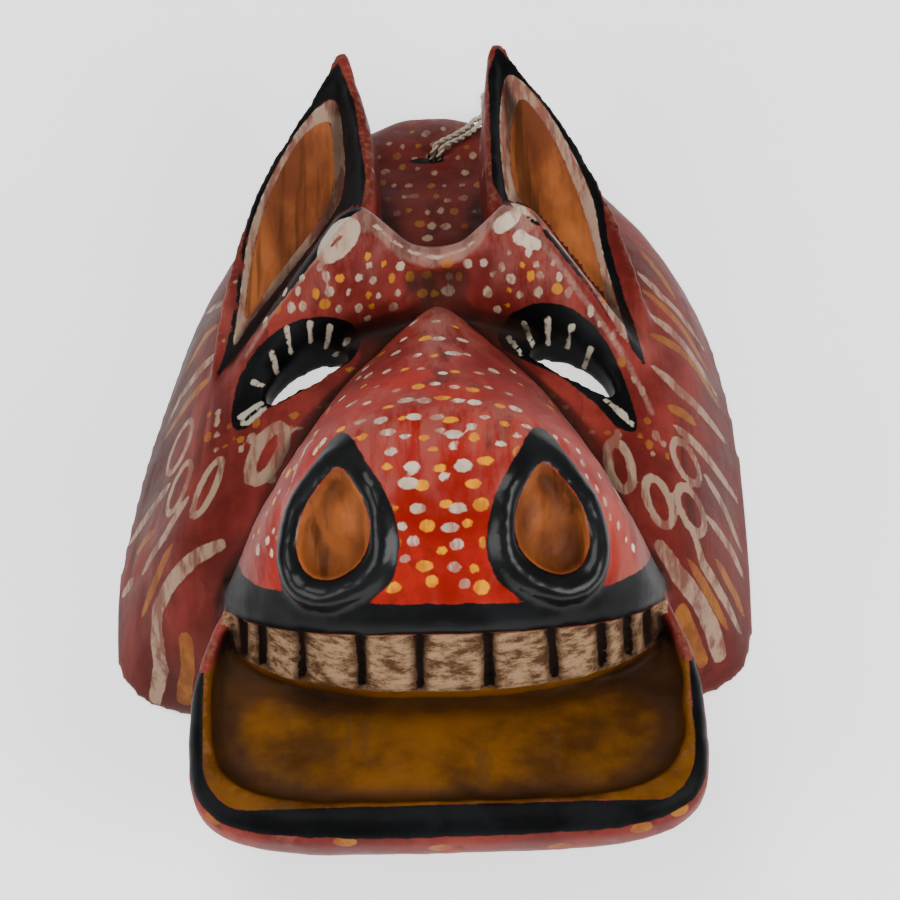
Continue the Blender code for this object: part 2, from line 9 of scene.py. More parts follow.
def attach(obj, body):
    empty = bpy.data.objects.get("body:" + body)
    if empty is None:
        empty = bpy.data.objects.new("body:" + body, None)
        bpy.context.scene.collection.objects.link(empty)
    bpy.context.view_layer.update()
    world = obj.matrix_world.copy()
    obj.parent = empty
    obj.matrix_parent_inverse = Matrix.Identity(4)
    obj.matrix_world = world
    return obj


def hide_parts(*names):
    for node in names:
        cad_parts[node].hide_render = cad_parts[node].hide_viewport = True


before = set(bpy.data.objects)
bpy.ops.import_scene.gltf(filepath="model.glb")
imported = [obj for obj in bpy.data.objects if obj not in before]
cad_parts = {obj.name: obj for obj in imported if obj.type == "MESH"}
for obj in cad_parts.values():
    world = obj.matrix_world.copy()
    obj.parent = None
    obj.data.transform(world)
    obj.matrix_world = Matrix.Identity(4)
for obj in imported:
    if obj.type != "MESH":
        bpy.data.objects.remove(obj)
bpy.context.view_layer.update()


# Block of wood. One log carved into the whole head, worn smooth on its ridges and left with shallow knife
# cuts. Its form is the CAD carving's, cut into finer faces so that it takes the tool marks and the paint
PLACE = np.array([3.95, 0.65, 0.0])
GRAIN_OF_FACES = 0.00174

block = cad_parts["carved_mask"].copy()
block.data = block.data.copy()
bpy.context.scene.collection.objects.link(block)
weld = block.modifiers.new("weld", "WELD")
weld.merge_threshold = 0.00002
finer = block.modifiers.new("finer", "REMESH")
finer.mode = "VOXEL"
finer.voxel_size = GRAIN_OF_FACES
bpy.context.view_layer.update()
carving = bpy.data.meshes.new_from_object(block.evaluated_get(bpy.context.evaluated_depsgraph_get()))
carving.name = "painted_carving"
bpy.data.objects.remove(block)

# Places on the carving are worked out in millimetres, and the meshes are in metres
spots = np.empty(len(carving.vertices) * 3)
carving.vertices.foreach_get("co", spots)
spots = spots.reshape(-1, 3) * 1000
links = np.empty(len(carving.edges) * 2, dtype=np.int64)
carving.edges.foreach_get("vertices", links)
links = links.reshape(-1, 2)
neighbours = np.bincount(links.ravel(), minlength=len(spots)).astype(float)


def beside(values):
    """The mean of each vertex's neighbours: the far ends' values summed over its edges, over their number."""
    total = np.zeros_like(values)
    for k in range(values.shape[1]):
        total[:, k] = np.bincount(links[:, 0], values[links[:, 1], k], len(spots))
        total[:, k] += np.bincount(links[:, 1], values[links[:, 0], k], len(spots))
    return total / neighbours[:, None]


ROUNDS_OF_WEAR = 9
for _ in range(ROUNDS_OF_WEAR):
    spots += 0.6 * (beside(spots) - spots)
    spots -= 0.5 * (beside(spots) - spots)


def outward(places):
    """Unit normals: the mean of the faces round each vertex, from the mesh at these places."""
    carving.vertices.foreach_set("co", (places / 1000).ravel())
    carving.update()
    normals = np.empty(len(places) * 3)
    carving.vertices.foreach_get("normal", normals)
    return normals.reshape(-1, 3)


normals = outward(spots)


def ripple(places, size, seed):
    """Smooth noise between -1 and 1: sines of four turned directions, each bent by the one before it."""
    turn = np.random.default_rng(seed).normal(size=(4, 3))
    turn /= np.linalg.norm(turn, axis=1)[:, None]
    bend = np.zeros(len(places))
    total = np.zeros(len(places))
    for k, way in enumerate(turn):
        wave = np.sin(places @ way * 2 * math.pi / (size * (1 + 0.37 * k)) + 1.7 * bend + seed)
        bend = wave
        total += wave
    return total / len(turn)


knife_cuts = 0.26 * ripple(spots, 21, 3) + 0.1 * ripple(spots, 9, 5)
knife_cuts *= np.clip((spots[:, 2] - 2) / 8, 0, 1)
spots += normals * knife_cuts[:, None]

# Teeth. They aren't pieces of their own: V cuts part them down the band under the lip, deepest at the cut's
# middle line, and each joint leans and wanders a little as a knife does
TEETH_FROM, TEETH_GROUND, TEETH_REACH = -56, 52, 80
LIP_FOOT, LIP_EDGE = np.array([-56, 45.7]), np.array([-101, 113.0])
TOOTH_FOOT, TOOTH_EDGE = np.array([-62, 45.0]), np.array([-110, 86.0])
TOOTH_JOINTS = (-66, -59, -46, -27, -8.5, 13.5, 34, 50, 59, 66)
JOINT_HALF_WIDTH = 1.9
JOINT_DEPTH = 2.2


def over_line(places, foot, edge):
    """Height over the plane across the face through a foot and an edge, each (y, z)."""
    run = (edge - foot) / np.linalg.norm(edge - foot)
    return (places[:, 1] - foot[0]) * run[1] - (places[:, 2] - foot[1]) * run[0]


def joint_distance(places):
    """Distance across the row to the nearest joint, which leans out a little towards the tooth's foot."""
    fan = 1 + 0.0011 * over_line(places, LIP_FOOT, LIP_EDGE)
    wander = 0.5 * ripple(places, 23, 41)
    return np.min([np.abs(places[:, 0] * fan + wander - joint) for joint in TOOTH_JOINTS], axis=0)


bare_spots = spots - PLACE
in_teeth = over_line(bare_spots, LIP_FOOT, LIP_EDGE) < -0.5
in_teeth &= over_line(bare_spots, TOOTH_FOOT, TOOTH_EDGE) > 0.8
in_teeth &= (bare_spots[:, 1] < TEETH_FROM) & (bare_spots[:, 2] > TEETH_GROUND)
in_teeth &= (normals[:, 1] < 0.3) & (np.abs(bare_spots[:, 0]) < TEETH_REACH)
cut = np.clip(1 - joint_distance(bare_spots) / JOINT_HALF_WIDTH, 0, 1) * JOINT_DEPTH
spots -= normals * np.where(in_teeth, cut, 0)[:, None]
normals = outward(spots)

# A crease is where the mean of the vertices round about lies out from the wood
hollowness = np.einsum("ij,ij->i", beside(beside(spots)) - spots, normals)[:, None]
for _ in range(6):
    hollowness += 0.6 * (beside(hollowness) - hollowness)
hollowness = hollowness[:, 0]

# Broad hollows are darkened with painted shade and old wax, and broad ridges are rubbed. A much smoothed
# copy of the form lies over the hollows and under the ridges
SMOOTHED_TIMES = 70
smoothed = spots.copy()
for _ in range(SMOOTHED_TIMES):
    smoothed += 0.8 * (beside(smoothed) - smoothed)
valley = np.einsum("ij,ij->i", smoothed - spots, normals)
carved = spots - PLACE

# Camera. It looks down on the lying mask from beyond the lower jaw, a metre off, as the photo does, and is
# rolled a little. Its focus is in steps of the picture's width over 900
SIGHT_RISE = math.radians(65)
SIGHT_ROLL = math.radians(1.5)
SIGHT_DISTANCE = 1.0
SENSOR = 36.0
PICTURE = 900
PICTURE_FOCUS = 2900
sight_target = Vector((0.003, -0.012, 0.06))
towards_camera = Vector((0, -math.cos(SIGHT_RISE), math.sin(SIGHT_RISE)))
level = Vector((1, 0, 0))
plumb = towards_camera.cross(level)
across = math.cos(SIGHT_ROLL) * level - math.sin(SIGHT_ROLL) * plumb
upward = math.cos(SIGHT_ROLL) * plumb + math.sin(SIGHT_ROLL) * level
camera_data = bpy.data.cameras.new("camera")
camera_data.sensor_width = SENSOR
camera_data.lens = SENSOR * PICTURE_FOCUS / PICTURE
camera = bpy.data.objects.new("camera", camera_data)
stance = Matrix((across, upward, towards_camera)).transposed().to_4x4()
stance.translation = sight_target + Vector(PLACE / 1000) + towards_camera * SIGHT_DISTANCE
camera.matrix_world = stance
bpy.context.scene.collection.objects.link(camera)
bpy.context.scene.camera = camera

# Marks are laid out as the painter would see the face, right and down in the same steps. Each is dropped
# along its line of sight onto the carving
corners_of_faces = [tuple(face.vertices) for face in carving.polygons]
surface = BVHTree.FromPolygons([tuple(place) for place in spots / 1000], corners_of_faces)


def on_carving(right, down):
    """The carved place, in millimetres, that the line of sight through a place in the picture meets."""
    way = Vector(across) * (right - PICTURE / 2) + Vector(upward) * (PICTURE / 2 - down)
    way = (way / PICTURE_FOCUS - towards_camera).normalized()
    met = surface.ray_cast(stance.translation, way)[0]
    return None if met is None else np.array(met) * 1000 - PLACE


eye_point = np.array(stance.translation) * 1000 - PLACE
from_camera = carved - eye_point
depth = -(from_camera @ np.array(towards_camera))
seen_right = PICTURE / 2 + PICTURE_FOCUS * (from_camera @ np.array(across)) / depth
seen_down = PICTURE / 2 - PICTURE_FOCUS * (from_camera @ np.array(upward)) / depth
faces_camera = -np.einsum("ij,ij->i", from_camera, normals) / np.linalg.norm(from_camera, axis=1)


def outline_distance(right, down, corners):
    """Signed distance to a closed outline, below nought inside: the least distance to its sides. Its sign
    comes from how often a line to the right crosses them."""
    corners = np.asarray(corners, float)
    least = np.full(len(right), np.inf)
    inside = np.zeros(len(right), bool)
    for (ax, ay), (bx, by) in zip(corners, np.roll(corners, -1, axis=0)):
        share = ((right - ax) * (bx - ax) + (down - ay) * (by - ay)) / ((bx - ax) ** 2 + (by - ay) ** 2)
        share = np.clip(share, 0, 1)
        least = np.minimum(least, np.hypot(right - ax - share * (bx - ax), down - ay - share * (by - ay)))
        crosses = (ay > down) != (by > down)
        crosses &= right < ax + (down - ay) * (bx - ax) / (by - ay if by != ay else 1)
        inside ^= crosses
    return np.where(inside, -least, least)


def rounded(corners, count):
    """A smooth closed curve through corners: cubics, whose slope at each corner is half the step between the
    corner's neighbours."""
    corners = np.asarray(corners, float)
    at = np.linspace(0, len(corners), count, endpoint=False)
    first = at.astype(int)
    share = (at - first)[:, None]
    before, here, after, beyond = (corners[(first + k) % len(corners)] for k in (-1, 0, 1, 2))
    slope, next_slope = (after - before) / 2, (beyond - here) / 2
    a = 2 * share**3 - 3 * share**2 + 1
    leaving = (share**3 - 2 * share**2 + share) * slope
    arriving = (share**3 - share**2) * next_slope
    return a * here + leaving + (1 - a) * after + arriving


FAR = 30.0
PAINTS = ("cream", "ochre", "rubbed", "black", "orange", "mustard", "bare", "bone", "joint")
paints = {name: np.full(len(carved), FAR) for name in PAINTS}


def lay(paint, distance, where=True):
    """Puts a paint on where a distance is under nought: the least of it and what the paint has there."""
    paints[paint] = np.where(where, np.minimum(paints[paint], distance), paints[paint])


def touch(paint, middle, radius, squeeze=(1, 1, 1)):
    """One round touch of the brush: distance over the wood from its middle, less its radius."""
    gap = carved - middle
    near = np.abs(gap).max(axis=1) < 2.5 * radius + 4
    lay_part(paint, near, np.linalg.norm(gap[near] * squeeze, axis=1) - radius)


def dab(paint, right, down, radius, stretch=1.0):
    """A touch where the line of sight through a place in the picture meets the wood, stretched across."""
    middle = on_carving(right, down)
    if middle is not None:
        touch(paint, middle, radius, (1 / stretch, stretch, 1))


def lay_part(paint, near, distance):
    """Puts a paint on at the vertices near a mark alone, from a distance for each of them."""
    held = paints[paint]
    held[near] = np.minimum(held[near], distance)


LEAP = 45


def stroke(paint, line, start_width, end_width=None, taper=0.0):
    """A drawn stroke through places in the picture: distance to the line over the wood, less half its width.
    The width changes evenly from start to end and narrows by the taper towards both. A line that leaps
    further than LEAP has slipped off an edge onto a form behind it, and isn't drawn."""
    end_width = start_width if end_width is None else end_width
    places = [on_carving(*p) for p in line]
    places = [p for p in places if p is not None]
    if any(np.linalg.norm(b - a) > LEAP for a, b in zip(places, places[1:])):
        return
    count = len(places) - 1
    for k in range(count):
        a, b = places[k], places[k + 1]
        reach = np.linalg.norm(b - a) / 2 + start_width + end_width + 4
        near = np.abs(carved - (a + b) / 2).max(axis=1) < reach
        share = np.clip((carved[near] - a) @ (b - a) / max((b - a) @ (b - a), 1e-6), 0, 1)
        along = (k + share) / count
        width = (start_width + (end_width - start_width) * along) * (1 - taper * (2 * along - 1) ** 4)
        from_line = np.linalg.norm(carved[near] - a - share[:, None] * (b - a), axis=1)
        lay_part(paint, near, from_line - width / 2)


def ring(paint, middle, half_across, half_up, lean, width):
    """A drawn loop: a stroke round an ellipse that leans by an angle in the picture."""
    turn = np.linspace(0, 2 * math.pi, 15)
    right = half_across * np.cos(turn)
    down = half_up * np.sin(turn)
    c, s = math.cos(math.radians(lean)), math.sin(math.radians(lean))
    line = [(middle[0] + x * c - y * s, middle[1] + x * s + y * c) for x, y in zip(right, down)]
    stroke(paint, line, width)


brush = np.random.default_rng(11)


def scatter(outline, pitch, radius, turns, stretch=1.0, bow=0.0):
    """Dabs over an outline in the picture, in staggered rows 0.86 of the pitch apart that bow down away from
    its middle. Each is moved, sized and stretched a little by chance, and turns gives the paints' order."""
    corners = np.array(outline, float)
    (left, top), (right_most, bottom) = corners.min(axis=0), corners.max(axis=0)
    for row, down in enumerate(np.arange(top - bow, bottom, 0.86 * pitch)):
        rights = np.arange(left + 0.5 * pitch * (row % 2), right_most, pitch)
        rights = rights + brush.normal(0, 0.16 * pitch, len(rights))
        downs = down + bow * (2 * (rights - left) / (right_most - left) - 1) ** 2
        downs = downs + brush.normal(0, 0.13 * pitch, len(rights))
        sizes = radius * brush.uniform(0.7, 1.3, len(rights))
        shapes = stretch * brush.uniform(0.85, 1.2, len(rights))
        within = outline_distance(rights, downs, corners) < 0
        for k in np.nonzero(within)[0]:
            dab(turns[(k + 2 * row) % len(turns)], rights[k], downs[k], sizes[k], shapes[k])


# Hollow side. Its wood is bare and browned by handling: it is where wood lies overhead and nothing lies
# beneath. What the camera sees of the outside is where most marks go
HOLLOW_FRONT = -84
HOLLOW_TOP = 110
OFF_THE_WOOD = 0.6
STRAIGHT_UP = Vector((0, 0, 1))
inner = np.zeros(len(carved), bool)
faces_down = (normals[:, 2] < 0.35) & (carved[:, 1] > HOLLOW_FRONT) & (carved[:, 2] < HOLLOW_TOP)
for i in np.nonzero(faces_down)[0]:
    start = Vector((spots[i] + OFF_THE_WOOD * normals[i]) / 1000)
    below, overhead = surface.ray_cast(start, -STRAIGHT_UP)[0], surface.ray_cast(start, STRAIGHT_UP)[0]
    if below is None and overhead is not None:
        inner[i] = True
bareness = np.where(inner, -3.0, 3.0)[:, None]
for _ in range(3):
    bareness = 0.5 * bareness + 0.5 * beside(bareness)
lay("bare", bareness[:, 0])
outer = ~inner
BEHIND_CREST = 0.012
in_sight = np.zeros(len(carved), bool)
for i in np.nonzero((faces_camera > 0.02) & outer)[0]:
    way = Vector(spots[i] / 1000) - stance.translation
    met = surface.ray_cast(stance.translation, way.normalized())[3]
    in_sight[i] = met is None or met > way.length - BEHIND_CREST

# Crown. Between the ears, small cream and ochre dabs in close rows down to the horned brow, and painted
# shade round the string's hole, dark as the hole's inside
CROWN_DOTS = (
    (384, 130), (404, 122), (440, 118), (474, 126), (486, 150), (486, 206), (476, 222), (430, 240),
    (392, 220), (372, 170),
)
CORD_HOLE = (428, 161)
scatter(CROWN_DOTS, 15.5, 1.6, ("cream", "ochre", "cream"), stretch=0.85)
# Painted shade: a dark dab that stands for the shade inside the string's hole
dab("joint", *CORD_HOLE, 3.6, 1.9)

# Ears. Each hollow is ochre stained wood in a cream band, in a black edge that runs down past the brow to a
# point. The outlines follow the ears' edges, and a slanting line over the brow closes them off
LEFT_INNER = (
    (338, 62), (354, 100), (360, 140), (366, 180), (360, 215), (330, 240), (290, 292), (245, 345),
    (214, 382),
)
LEFT_OUTER = ((226, 350), (236, 300), (240, 262), (246, 225), (258, 190), (278, 150), (300, 115), (322, 80))
LEFT_CREAM = (
    (334, 100), (343, 140), (344, 180), (334, 212), (290, 272), (250, 322), (234, 346), (240, 300),
    (248, 240), (263, 195), (285, 152), (308, 118),
)
LEFT_WOOD = (
    (328, 122), (333, 150), (333, 190), (318, 222), (272, 282), (246, 318), (254, 250), (270, 195),
    (300, 140),
)
RIGHT_INNER = (
    (497, 46), (488, 75), (490, 130), (492, 180), (505, 207), (540, 228), (590, 290), (630, 350),
    (658, 407),
)
RIGHT_OUTER = (
    (636, 330), (622, 290), (608, 240), (603, 200), (592, 170), (575, 140), (553, 108), (530, 80),
)
RIGHT_CREAM = (
    (507, 76), (500, 120), (503, 170), (512, 205), (545, 228), (590, 285), (628, 345), (616, 300),
    (602, 250), (594, 205), (578, 165), (552, 118), (528, 88),
)
RIGHT_WOOD = (
    (519, 100), (510, 140), (514, 185), (530, 212), (575, 258), (606, 305), (592, 240), (578, 195),
    (558, 148), (536, 112),
)
STEPS_TO_MILLIMETRE = 3
BROW_HEIGHT = 52
BROW_FALL = 0.92
HORN_ACROSS = 33
EAR_FOOT = 6
EARS_APART, EARS_BEGIN = 14, 2
for side, inner_edge, outer_edge, cream_edge, wood_edge in (
    (-1, LEFT_INNER, LEFT_OUTER, LEFT_CREAM, LEFT_WOOD),
    (1, RIGHT_INNER, RIGHT_OUTER, RIGHT_CREAM, RIGHT_WOOD),
):
    on_ear = (carved[:, 0] * side > EARS_APART) & (carved[:, 1] > EARS_BEGIN) & in_sight
    black_edge = outline_distance(seen_right, seen_down, inner_edge + outer_edge) / STEPS_TO_MILLIMETRE
    cream_band = outline_distance(seen_right, seen_down, rounded(cream_edge, 60)) / STEPS_TO_MILLIMETRE
    wood = outline_distance(seen_right, seen_down, rounded(wood_edge, 60)) / STEPS_TO_MILLIMETRE
    brow_line = BROW_HEIGHT - BROW_FALL * (carved[:, 0] * side - HORN_ACROSS)
    above_brow = carved[:, 1] - np.maximum(brow_line, EAR_FOOT) - EAR_FOOT
    lay("black", np.maximum(np.maximum(black_edge, -above_brow), -cream_band), on_ear)
    lay("cream", np.maximum(np.maximum(cream_band, -above_brow), -wood), on_ear)
    lay("orange", np.maximum(wood, -above_brow), on_ear)

# Brow. Its horned ridge is rubbed down to dusty pink with a pale loop on each horn, and dabs fill the slopes
# below. A stroke's row gives its paint, its widths in millimetres at both ends, its taper and its line
BROW_STROKES = (
    ("rubbed", 8.5, 8.5, 0, (
        (352, 222), (372, 218), (388, 232), (404, 247), (430, 256), (456, 250), (474, 236), (488, 220),
        (504, 213), (522, 222)
    )),
    ("rubbed", 2.4, 1.6, 0, ((330, 240), (306, 270), (272, 314), (246, 356))),
    ("rubbed", 2.6, 2.0, 0, ((536, 234), (566, 274), (604, 326), (630, 366), (652, 412))),
    ("cream", 1.6, 1.2, 0, ((374, 224), (392, 240), (412, 252), (436, 258), (458, 252), (474, 242))),
    ("cream", 5.6, 5.0, 0, ((500, 226), (513, 217))),
    ("cream", 5.2, 4.0, 0, ((520, 237), (536, 245))),
)
HORN_LOOP = (338, 240)
LEFT_SLOPE = (
    (322, 262), (345, 262), (366, 250), (398, 262), (412, 288), (400, 306), (372, 324), (340, 312),
    (300, 306), (262, 328), (236, 372), (226, 374), (240, 338), (276, 290),
)
RIGHT_SLOPE = (
    (478, 262), (496, 250), (526, 250), (552, 262), (590, 300), (622, 344), (648, 400), (654, 424),
    (642, 424), (630, 388), (606, 336), (578, 304), (546, 294), (514, 302), (492, 322), (480, 300),
)
FROWN = ((402, 262), (470, 262), (476, 284), (452, 302), (432, 292), (408, 304))
for paint, start_width, end_width, taper, line in BROW_STROKES:
    stroke(paint, line, start_width, end_width, taper)
ring("cream", HORN_LOOP, 9, 21, 42, 5.0)
scatter(LEFT_SLOPE, 16.5, 1.55, ("cream", "cream", "ochre"), stretch=0.85)
scatter(RIGHT_SLOPE, 16.5, 1.55, ("cream", "ochre", "cream"), stretch=0.85)
scatter(FROWN, 17, 1.9, ("ochre", "cream", "ochre"))

# Eyes. A black bean is painted round each slit and down into its wall, and pale lashes are drawn out from the
# slit in short strokes
LEFT_LASHES = (
    ((253, 382), (264, 387)), ((272, 353), (277, 373)), ((287, 328), (291, 353)), ((310, 323), (311, 343)),
    ((330, 326), (326, 348)), ((348, 340), (334, 356)), ((240, 417), (262, 403)), ((248, 423), (266, 408)),
)
RIGHT_LASHES = (
    ((509, 338), (522, 355)), ((524, 323), (533, 346)), ((548, 319), (548, 345)), ((572, 326), (567, 349)),
    ((591, 348), (584, 368)), ((606, 375), (594, 384)), ((626, 416), (605, 400)), ((632, 424), (614, 408)),
)
LEFT_BEAN = (
    (232, 426), (236, 388), (256, 350), (288, 324), (320, 317), (348, 321), (359, 337), (354, 358),
    (322, 378), (290, 398), (262, 412), (246, 428),
)
RIGHT_BEAN = (
    (499, 344), (504, 322), (522, 308), (547, 303), (576, 311), (604, 338), (626, 384), (637, 428),
    (618, 428), (600, 408), (562, 378), (524, 360),
)
BROW_TOP = 60
EYE_FOOT = -12
EDGE_ON = 0.02
on_brow = (carved[:, 1] < BROW_TOP) & (carved[:, 1] > EYE_FOOT) & outer
on_brow &= in_sight | (faces_camera < EDGE_ON)
for bean in (LEFT_BEAN, RIGHT_BEAN):
    lay("black", outline_distance(seen_right, seen_down, rounded(bean, 72)) / STEPS_TO_MILLIMETRE, on_brow)
for lash in LEFT_LASHES + RIGHT_LASHES:
    stroke("cream", lash, 2.3, 1.7)

# Muzzle. Dabs in bowed rows, small on the bridge and round and bright over the nose, and smaller ones in the
# hollow under each eye and down both sides
BRIDGE = (
    (432, 304), (446, 316), (470, 344), (500, 376), (532, 412), (544, 436), (512, 452), (372, 452),
    (330, 430), (322, 418), (352, 384), (386, 346), (416, 314),
)
NOSE = (
    (356, 450), (522, 450), (502, 484), (490, 520), (494, 560), (510, 592), (384, 592), (390, 556),
    (394, 520), (382, 482),
)
LEFT_SIDE = ((318, 430), (334, 434), (300, 474), (286, 512), (274, 558), (246, 554), (262, 500), (290, 452))
RIGHT_SIDE = (
    (548, 436), (575, 464), (600, 500), (618, 548), (634, 572), (642, 560), (622, 508), (592, 460),
    (560, 428),
)
UNDER_LEFT_EYE = (
    (218, 430), (238, 434), (270, 424), (316, 400), (350, 370), (364, 356), (372, 362), (344, 398),
    (312, 424), (268, 440), (238, 450),
)
UNDER_RIGHT_EYE = (
    (506, 360), (530, 378), (566, 402), (604, 426), (640, 434), (636, 446), (596, 438), (554, 414),
    (518, 382),
)
scatter(BRIDGE, 18.5, 1.7, ("cream", "cream", "ochre"), stretch=1.2, bow=14)
scatter(NOSE, 23.5, 2.15, ("cream", "ochre", "cream", "ochre"), stretch=1.15, bow=6)
scatter(LEFT_SIDE, 14, 1.3, ("cream", "cream", "ochre"), stretch=0.8)
scatter(RIGHT_SIDE, 14, 1.3, ("cream", "cream"), stretch=0.8)
scatter(UNDER_LEFT_EYE, 14, 1.4, ("cream", "ochre"), stretch=1.2)
scatter(UNDER_RIGHT_EYE, 14, 1.4, ("cream", "ochre"), stretch=1.2)
SIDE_PITCH = 9.5
SIDE_FROM, SIDE_TO = -88, -8
SIDE_LOW, SIDE_HIGH = 66, 132
SIDE_WITHIN = 0.078
WELL_OUTSIDE = 170
SIDEWAYS, TURNED_AWAY = 0.5, 0.12
for side in (-1, 1):
    for row, along in enumerate(np.arange(SIDE_FROM, SIDE_TO, SIDE_PITCH)):
        for up in np.arange(SIDE_LOW + 4.7 * (row % 2), SIDE_HIGH, SIDE_PITCH):
            start = Vector((PLACE[0] + WELL_OUTSIDE * side, PLACE[1] + along, up)) / 1000
            met, facing = surface.ray_cast(start, Vector((-side, 0, 0)))[:2]
            on_side = met and abs(met.x) < SIDE_WITHIN and abs(facing.x) > SIDEWAYS
            if on_side and facing.dot(towards_camera) < TURNED_AWAY:
                touch("cream" if brush.uniform() < 0.7 else "ochre", np.array(met) * 1000 - PLACE,
                      1.7 * brush.uniform(0.7, 1.3), (1, 0.8, 1.1))

# Nostrils. Shallow pits stained orange, each in a thick black lip that runs into the band over the teeth.
# Their outlines are in millimetres from the face's middle
NOSTRIL_HOLLOW = (
    (32.5, -52.5), (39.5, -58), (44.8, -66), (46.2, -75.5), (42.6, -83), (35.5, -85.6), (27.8, -83),
    (23.2, -77), (23.2, -69), (27.0, -60),
)
NOSTRIL_LIP = (
    (31.5, -39), (41, -49.5), (49, -60), (53, -74), (50.5, -86), (43, -93), (34, -95.5), (24, -93),
    (16, -87), (13.6, -78), (16.4, -66), (23.5, -52.5),
)
MUZZLE_FROM = -30
MUZZLE_FOOT = 96
on_muzzle = (carved[:, 1] < MUZZLE_FROM) & (carved[:, 2] > MUZZLE_FOOT) & outer
for side in (-1, 1):
    lip = outline_distance(carved[:, 0] * side, carved[:, 1], rounded(NOSTRIL_LIP, 72))
    hollow = outline_distance(carved[:, 0] * side, carved[:, 1], rounded(NOSTRIL_HOLLOW, 72))
    lay("black", np.maximum(lip, -hollow), on_muzzle)
    lay("orange", hollow, on_muzzle)
    for paint in ("cream", "ochre"):
        paints[paint] = np.where(on_muzzle, np.maximum(paints[paint], -lip + 0.4), paints[paint])

# Upper lip and teeth. A black band round the muzzle's edge, wider at the mouth's corners, over a row of bare
# teeth that are dark in their joints
over_lip = over_line(carved, LIP_FOOT, LIP_EDGE)
over_teeth = over_line(carved, TOOTH_FOOT, TOOTH_EDGE)
BAND_HALF_WIDTH, TEETH_HALF_WIDTH, CHEEK_FROM = 75, 74, 69
BAND_WIDTH, BAND_WIDENS = 10.5, 6.5
MOUTH_FROM, MOUTH_GROUND, BAND_FROM = -52, 47, -54
DARK_JOINT = 1.25
from_side = np.abs(carved[:, 0])
mouth_front = (carved[:, 1] < MOUTH_FROM) & (carved[:, 2] > MOUTH_GROUND) & outer
cheek_side = (normals[:, 0] * np.sign(carved[:, 0]) < -0.15) & (from_side > CHEEK_FROM)
band = BAND_WIDTH + BAND_WIDENS * (np.abs(carved[:, 0] - 2) / 72) ** 3 + 0.6 * ripple(carved, 30, 21)
on_band = mouth_front & (carved[:, 1] < BAND_FROM) & (from_side < BAND_HALF_WIDTH)
lay("black", np.maximum(over_lip - band, -over_lip), on_band)
joint_line = joint_distance(carved) - DARK_JOINT - 0.5 * ripple(carved, 17, 43)
lay("joint", np.maximum(joint_line, 0.8 - over_teeth), mouth_front & (over_lip < 0.5))
on_teeth = mouth_front & (from_side < TEETH_HALF_WIDTH) & ~cheek_side
lay("bone", np.maximum(over_lip + 0.3, -over_teeth), on_teeth)
for paint in ("cream", "ochre"):
    paints[paint] = np.where(mouth_front, np.maximum(paints[paint], band + 0.5 - over_lip), paints[paint])

# Lower jaw. A mustard floor and the strip under the teeth, a black lip round it, and red outside with a few
# ochre dabs
TRAY_HALF_WIDTH, TRAY_FRONT = 79.5, -144.3
CORNER_ACROSS, CORNER_ALONG, CORNER_RADIUS = 62, -128, 17.5
LIP_LOW, LIP_HIGH = 71.0, 78
JAW_DABS = ((288, 831), (212, 818), (345, 842), (440, 848), (560, 846), (642, 828), (680, 810))
TRAY_FROM, TRAY_GROUND, TRAY_TOP = -58, 52, 92
JAW_FROM, JAW_GROUND = -70, 50
in_mouth = (carved[:, 1] < TRAY_FROM) & (carved[:, 2] > TRAY_GROUND) & (carved[:, 2] < TRAY_TOP)
in_mouth &= outer & (over_teeth < 0.5)
tray_edge = np.maximum(from_side - TRAY_HALF_WIDTH, TRAY_FRONT - carved[:, 1])
corner_side = np.maximum(from_side - CORNER_ACROSS, 0)
corner_front = np.maximum(CORNER_ALONG - carved[:, 1], 0)
at_corner = (from_side > CORNER_ACROSS) & (carved[:, 1] < CORNER_ALONG)
corner = np.hypot(corner_side, corner_front) - CORNER_RADIUS
tray_edge = np.maximum(tray_edge, np.where(at_corner, corner, -FAR))
lay("mustard", tray_edge + 0.4 * ripple(carved, 22, 31), in_mouth)
on_lip = (carved[:, 1] < JAW_FROM) & (carved[:, 2] > JAW_GROUND) & outer & (over_teeth < 0)
lip_edges = np.maximum(LIP_LOW - carved[:, 2] + 1.0 * ripple(carved, 40, 33), carved[:, 2] - LIP_HIGH)
lay("black", np.maximum(-tray_edge, lip_edges), on_lip)
for right, down in JAW_DABS:
    dab("ochre", right, down, 3.0, 1.3)

